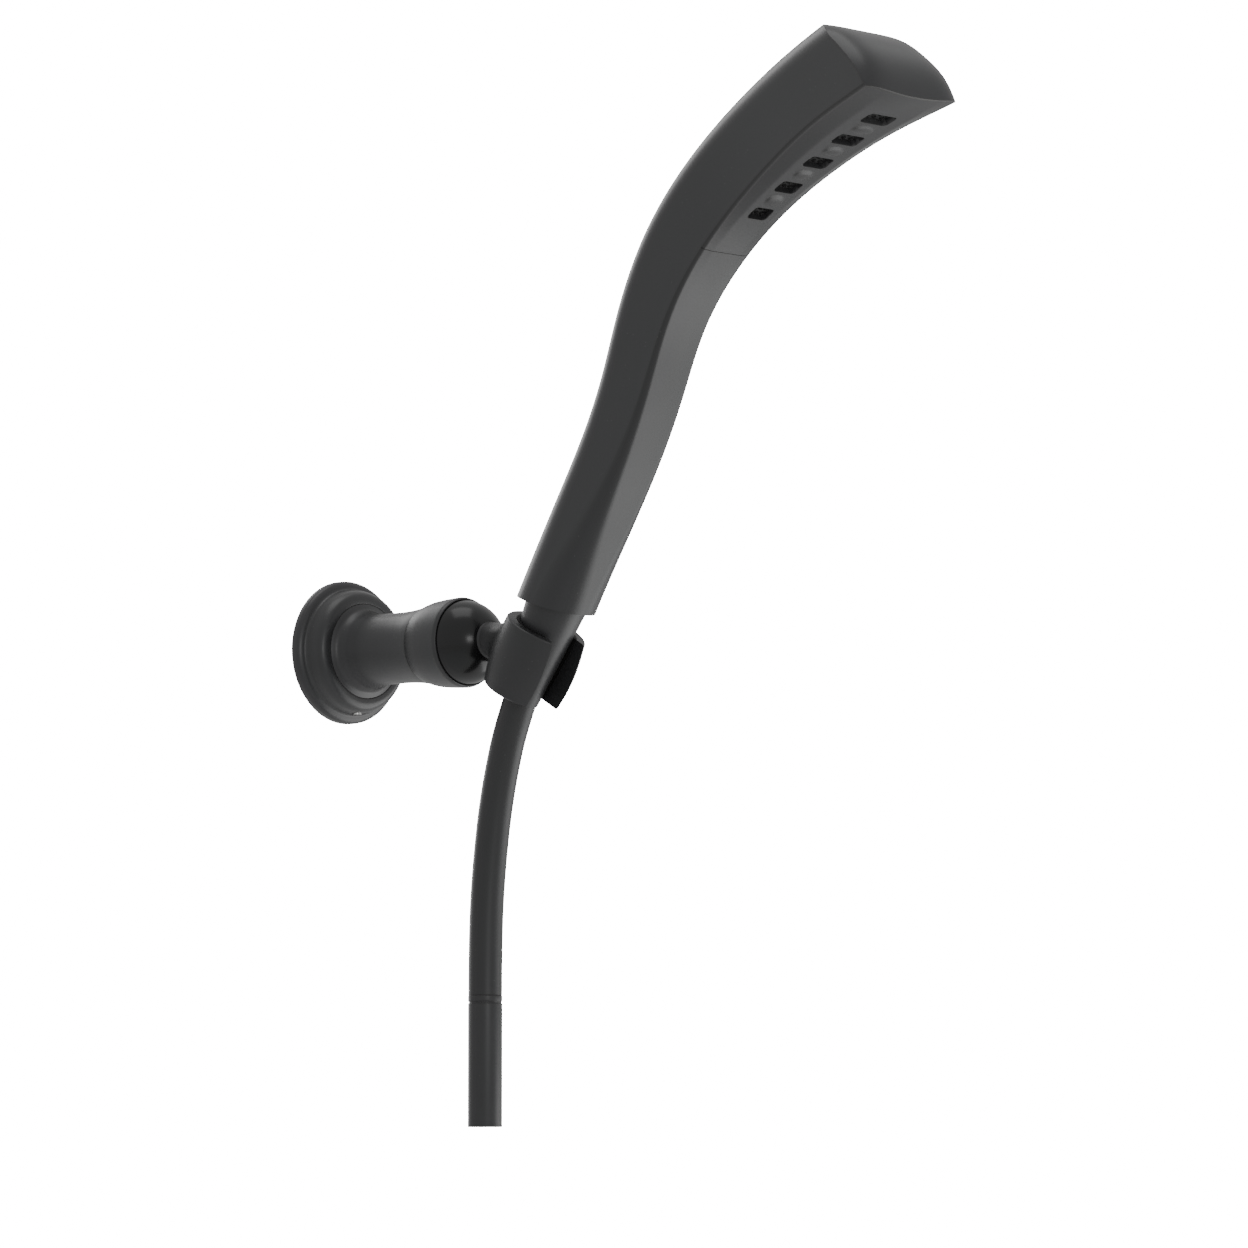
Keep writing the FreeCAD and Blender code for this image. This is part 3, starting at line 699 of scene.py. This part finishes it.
def sprayRelief(s, y):
    # Sunk pockets less the low pillows between them, as a depth behind the face.
    sunk = spraySet["deep"] * smoothStep(inPocket(s, y) / spraySet["wallRun"])
    between = (pocketAt[1:] + pocketAt[:-1]) / 2
    wide, long, high = spraySet["pillow"]
    grow = nozzleHalf(s) / 6.3
    lens = 1 - (y / wide / grow)[..., None] ** 2 - ((s[..., None] - between) / long) ** 2
    return sunk - high * np.sqrt(np.maximum(lens, 0)).max(-1) * smoothStep(lens.max(-1) / 0.5)


def makePanel():
    # Spray face of the head, from the seam to the domed end, with its pockets sunk in.
    outline, columns = frontOutline((7, 101), nozzleHalf)
    steps = [np.arange(bodySet["seam"] + 0.12, 286, 0.9)]
    steps += [np.arange(p - spraySet["fineHalf"], p + spraySet["fineHalf"], 0.22) for p in pocketAt]
    fixed = np.unique(np.round(np.concatenate(steps), 2))[:, None] + np.zeros(columns)
    high = solveAlong(outline, np.full((1, columns), 300.0), pastEnd)
    s = np.concatenate([fixed, fixed[-1:] + np.linspace(0, 1, 24)[1:, None] * (high - fixed[-1:])])
    y, v = outline(s)
    front = bodyPoint(s, y, v + sprayRelief(s, y))
    back = v + 0.25 + 3.4 * smoothStep((widthAt(s) / 2 - np.abs(y) - 2.4) / 1.2)
    return closedSlab("sprayPanel", front, bodyPoint(s, y * 0.985, back), sharp=40)


def makeNozzle(number):
    # Soft insert on a pocket's floor: two rows of three raised nubs, each with a hole.
    at, half = pocketAt[number], pocketHalf[number]
    s, y = np.meshgrid(np.linspace(-3.5, 3.5, 43) + at, np.linspace(-half + 0.3, half - 0.3, 67),
                       indexing="ij")
    nubS, nubY = np.array([-1.5, 1.5])[:, None], np.array([-1, 0, 1]) * half * 0.58
    gap = np.hypot(s[..., None, None] - at - nubS, y[..., None, None] - nubY).min((-1, -2))
    rise = (spraySet["nubHigh"] * smoothStep((spraySet["nubRadius"] - gap) / 0.4)
            - spraySet["holeDeep"] * smoothStep((spraySet["holeRadius"] - gap) / 0.15))
    edge = smoothStep(inPocket(s, y, 0.3) / 0.5)
    front = frontDepth(s, y) + spraySet["deep"] - 0.02 - (0.35 + rise) * edge
    return closedSlab("nozzle.%d" % (number + 1), bodyPoint(s, y, front),
                      bodyPoint(s, y, frontDepth(s, y) + spraySet["deep"] + 0.4), sharp=40)


def makeEndCap():
    # Domed end: rings shrink from the body's own outline to a centre, all of them lying on the dome.
    # The rim is let in a little and the ring after it stands a little proud, as a fine joint line.
    shell, shellColumns = shellOutline(0.0)
    front, frontColumns = frontOutline((6, 61))
    high = solveAlong(shell, np.full((1, shellColumns), bodySet["endAt"]), pastEnd)
    backLoop = bodyPoint(high, *shell(high))[0]
    high = solveAlong(front, np.full((1, frontColumns), 300.0), pastEnd)
    frontLoop = bodyPoint(high, *front(high))[0]
    loop = np.concatenate([backLoop[:-1], frontLoop[::-1][:-1]]) - endOrigin
    rim = np.stack([loop[:, 1], loop @ endForward], 1)
    centre = rim.mean(0)
    q = np.concatenate([[1.0, 0.9965, 0.990], 1 - np.linspace(0.02, 1, 34) ** 1.15])[:, None, None]
    flat = centre + q * (rim - centre)
    height = domeAt(flat[..., 0], flat[..., 1])
    height[:2] += np.array([-0.15, 0.03])[:, None]
    top = endOrigin + flat[..., :1] * sideways + flat[..., 1:] * endForward + height[..., None] * endNormal
    inset = centre + (rim - centre) * 0.93
    low = (endOrigin + inset[:, :1] * sideways + inset[:, 1:] * endForward
           + (domeAt(inset[:, 0], inset[:, 1]) - 2.5)[:, None] * endNormal)
    floor = low * 0 + low.mean(0)
    rings = np.concatenate([floor[None], low[None], top])
    rows, columns = rings.shape[:2]
    piece = meshObject("endCap", rings.reshape(-1, 3), gridQuads(rows, columns, False, True))
    return finishMesh(piece, sharp=24)


place(makeShell(), "handset", "satin_black", "handset_shell")
place(makeCover(), "handset", "satin_black_plastic", "front_cover")
place(makePanel(), "handset", "satin_black_plastic", "spray_panel")
place(makeEndCap(), "handset", "satin_black", "end_cap")
for number in range(5):
    place(makeNozzle(number), "handset", "nozzle_rubber", "nozzle_%d" % (number + 1))
print("handset made")


def arcProfile(centre, radius, start, end, steps):
    # Points of a circle in (along, radius), from one angle to another, in degrees.
    a = np.radians(np.linspace(start, end, steps))
    return np.stack([centre + radius * np.cos(a), radius * np.sin(a)], 1)


wallSet = dict(
    flange=[(0.0, 24.1), (0.0, 30.3), (3.2, 30.3), (4.6, 28.8), (5.2, 26.6), (10.4, 25.8), (12.6, 24.4),
            (13.5, 22.6), (13.5, 20.1), (11.9, 20.1), (11.9, 22.4), (9.6, 24.1)],
    flangeRound=[0.1, 0.5, 1.1, 0.9, 1.2, 1.6, 1.6, 1.0, 0.3, 0.2, 0.4, 0.5],
    arm=[(6.1, 11.2), (6.1, 20.0), (13.45, 20.0), (14.6, 17.4), (17.0, 16.0), (21.0, 15.2), (30.0, 14.9),
         (40.0, 14.9), (47.0, 15.3), (54.0, 16.2), (54.0, 14.9), (60.0, 14.9), (60.0, 13.4), (47.0, 13.4),
         (47.0, 9.0), (8.0, 9.0), (8.0, 11.2)],
    armRound=[0.2, 0.2, 0.25, 1.0, 1.6, 2.4, 4.0, 4.0, 3.0, 0.1, 0.2, 0.3, 0.2, 0.2, 0.2, 0.2, 0.2],
    nut=[(54.2, 15.0), (54.2, 16.3), (57.0, 17.15), (60.5, 17.95), (65.0, 18.45), (70.0, 18.75),
         (73.6, 18.9), (74.9, 18.4), (74.9, 17.75), (72.5, 18.1), (66.0, 16.9), (61.5, 14.2), (60.4, 13.6), (60.4, 15.0)],
    nutRound=[0.15, 0.1, 1.2, 1.6, 2.0, 2.0, 0.5, 0.45, 0.3, 1.5, 1.5, 0.5, 0.2, 0.2],
    cone=[(-0.4, 10.5), (-0.4, 12.9), (-46.0, 8.2), (-46.0, 7.75), (-34.5, 7.2), (-17.2, 7.2),
          (-15.4, 10.0), (-12.6, 10.5)],
    coneRound=[0.2, 0.8, 0.3, 0.1, 1.0, 0.2, 0.2, 0.2],
    ball=(72.5, 17.8, 28.2, 128), ballHole=[(61.5, 4.0), (88.2, 4.0)])


def makeBall():
    # Ball: an arc of a circle about its own centre, closed by the flat and the stem's hole.
    arc = arcProfile(*wallSet["ball"], 60)
    return turnedPiece("swivelBall", np.concatenate([arc, wallSet["ballHole"]]), "x", 144)


def turnedFrom(name, part, axis, segments):
    # A turned piece from one of the profiles above and the reach of its corners.
    return turnedPiece(name, roundedPath(wallSet[part], wallSet[part + "Round"]), axis, segments)


place(turnedFrom("wallFlange", "flange", "x", 192), "wall_arm", "satin_black", "wall_flange")
place(turnedFrom("armTube", "arm", "x", 160), "wall_arm", "satin_black", "arm_tube")
place(turnedFrom("lockNut", "nut", "x", 160), "lock_nut", "satin_black", "lock_nut")
place(turnedFrom("coneNut", "cone", "axis", 144), "cone_nut", "satin_black_plastic", "cone_nut")
place(makeBall(), "cradle", "dark_socket", "swivel_ball")
print("wall side and cone nut made")


cradleSet = dict(
    outer=[(-43.6, 15.6), (-43.0, 16.4), (-36.0, 17.6), (-29.0, 18.1), (-22.0, 17.9), (-14.1, 17.1),
           (-13.5, 16.4)],
    ends=(-43.6, -13.5), corners=[0.5, 0.3, 1.5, 3.0, 3.0, 3.0, 1.2, 0.6, 0.5], slot=18.0, gap=1.5,
    neckFace=(88.3, [0.001, 4.0, 7.45]), neckRim=(88.6, 7.7), neckStart=(89.6, 7.4), backStart=104.0,
    footprint=(10.2, 13.2, 15.4), pull=(3.0, 11.0), sunk=1.6)


def coneRadius(z):
    # The cone nut's straight side: from its wide end's radius down to its narrow end's.
    (wideAt, wide), (narrowAt, narrow) = wallSet["cone"][1:3]
    return wide + (z - wideAt) * (narrow - wide) / (narrowAt - wideAt)


def cradleOuter(z):
    # The ring's outer radius, in straight lines between the given places.
    rows = np.array(cradleSet["outer"])
    return np.interp(z, rows[:, 0], rows[:, 1])


def makeCradle():
    # Open ring: a rounded closed profile carried round the cone. Each point of it turns from one side
    # of the slot to the other, so it starts at the angle whose sine is half the slot over its radius.
    low, high = cradleSet["ends"]
    profile = [(low, coneRadius(low) + cradleSet["gap"])] + cradleSet["outer"]
    profile += [(high, coneRadius(high) + cradleSet["gap"])]
    path = roundedPath(profile, cradleSet["corners"], steps=6)
    start = np.arcsin(cradleSet["slot"] / 2 / path[:, 1])
    q = np.linspace(0, 1, 121)[:, None]
    turn = start + q * (2 * np.pi - 2 * start)
    points = onHandsetAxis(np.broadcast_to(path[:, 0], turn.shape), path[:, 1] * np.cos(turn),
                           path[:, 1] * np.sin(turn))
    rows, columns = turn.shape
    ends = [tuple(range(columns)), tuple((rows - 1) * columns + np.arange(columns)[::-1])]
    quads = gridQuads(rows, columns, False, True)
    return finishMesh(meshObject("cradleRing", points.reshape(-1, 3), quads, ends))


def makeNeck():
    # Neck: a cubic curve from the pinch behind the ball out to a footprint that lies on the ring's back.
    turn = np.linspace(0, 2 * np.pi, 121)[:-1]
    up, across, down = cradleSet["footprint"]
    tall = np.where(np.sin(turn) > 0, up, down)
    y, z = across * np.cos(turn), tall * np.sin(turn)
    x = np.full(len(turn), cradleSet["backStart"])
    for attempt in range(20):
        off = np.stack([x, y, z], 1) - foot
        along, front = off @ axisUp, off @ axisFront
        outside = np.hypot(front, y) - cradleOuter(along)
        x = x + outside
    base = np.stack([x, y, z], 1)
    off = base - foot
    normal = (off @ axisFront)[:, None] * axisFront + y[:, None] * sideways
    normal /= np.linalg.norm(normal, axis=1)[:, None]
    circle = np.stack([np.zeros(len(turn)), np.cos(turn), np.sin(turn)], 1)
    along = circle - (circle * normal).sum(1)[:, None] * normal
    along /= np.linalg.norm(along, axis=1)[:, None]
    first, last = cradleSet["pull"]
    startX, startRadius = cradleSet["neckStart"]
    p0 = np.array([startX, 0, 0]) + circle * startRadius
    p1 = p0 + np.array([first, 0, 0])
    base = base - normal * 0.12
    p2 = base - along * last * 0.6
    t = np.linspace(0, 1, 30)[:, None, None]
    flare = (1 - t) ** 3 * p0 + 3 * t * (1 - t) ** 2 * p1 + 3 * t * t * (1 - t) * p2 + t ** 3 * base
    faceX, faceRadii = cradleSet["neckFace"]
    rimX, rimRadius = cradleSet["neckRim"]
    rings = [np.array([faceX, 0, 0]) + circle * r for r in faceRadii]
    rings.append(np.array([rimX, 0, 0]) + circle * rimRadius)
    sunk = base - normal * cradleSet["sunk"]
    plug = sunk * 0 + sunk.mean(0)
    stack = np.concatenate([np.array(rings), flare, sunk[None], plug[None]])
    rows, columns = stack.shape[:2]
    quads = gridQuads(rows, columns, False, True)
    return finishMesh(meshObject("cradleNeck", stack.reshape(-1, 3), quads), sharp=38)


place(makeCradle(), "cradle", "satin_black_plastic", "cradle")
place(makeNeck(), "cradle", "satin_black_plastic", "cradle")
print("cradle made")

print("all pieces made")
